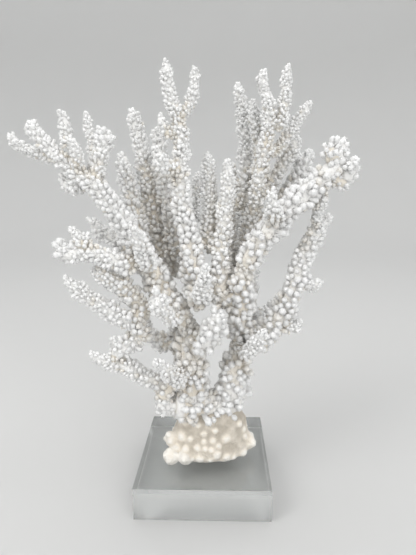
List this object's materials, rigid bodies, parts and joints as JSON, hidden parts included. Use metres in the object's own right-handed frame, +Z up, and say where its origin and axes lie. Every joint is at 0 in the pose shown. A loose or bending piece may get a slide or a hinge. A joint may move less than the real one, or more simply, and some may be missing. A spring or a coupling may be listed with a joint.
{
  "type": "branching coral on a clear acrylic block",
  "caption": "White branching coral with short blunt branchlets all over, its flared foot cut flat and fixed on a square clear acrylic display block.",
  "frame": {"origin": "centre of the block's underside, where it rests", "axes": "+Z up, +X to the right seen from the front, +Y towards the back"},
  "size_m": [0.2437, 0.1193, 0.324],
  "materials": {
    "coral": "matt, bleached white, finely granular",
    "acrylic": "clear, polished, sharp edges"
  },
  "bodies": {
    "root": {"acrylic_block": "acrylic", "holdfast": "coral", "left_trunk": "coral", "right_trunk": "coral", "back_left_trunk": "coral", "back_right_trunk": "coral", "upper_left_limb": "coral", "upper_left_prong_a": "coral", "upper_left_prong_b": "coral", "upper_left_prong_c": "coral", "upper_left_prong_d": "coral", "far_left_prong": "coral", "upper_left_low_finger": "coral", "top_centre_limb": "coral", "top_centre_prong": "coral", "top_centre_side_a": "coral", "top_centre_side_b": "coral", "middle_stem": "coral", "middle_back_stem": "coral", "right_limb": "coral", "right_upper_limb": "coral", "head_top_left": "coral", "head_top": "coral", "head_right": "coral", "head_low": "coral", "right_low_finger": "coral", "right_front_prong": "coral", "right_side_limb": "coral", "right_side_prong_a": "coral", "right_side_prong_b": "coral", "right_side_prong_c": "coral", "top_right_limb": "coral", "top_right_prong": "coral", "diagonal_prong_a": "coral", "diagonal_prong_b": "coral", "far_right_branch": "coral", "back_centre_right_branch": "coral", "right_back_stem": "coral", "top_right_side": "coral", "left_arm_upper": "coral", "left_arm_upper_prong": "coral", "left_arm_middle": "coral", "left_arm_lower": "coral", "left_arm_low": "coral", "left_arm_low_prong": "coral", "left_knob": "coral", "left_back_arm": "coral", "front_low_left": "coral", "front_low_centre": "coral", "front_low_right": "coral", "front_left": "coral", "front_centre": "coral", "front_upper_left": "coral", "back_left_limb": "coral", "back_left_stem": "coral", "back_left_arm": "coral", "back_left_low_arm": "coral", "back_centre_limb": "coral", "back_right_limb": "coral", "back_right_arm": "coral"}
  },
  "joints": []
}
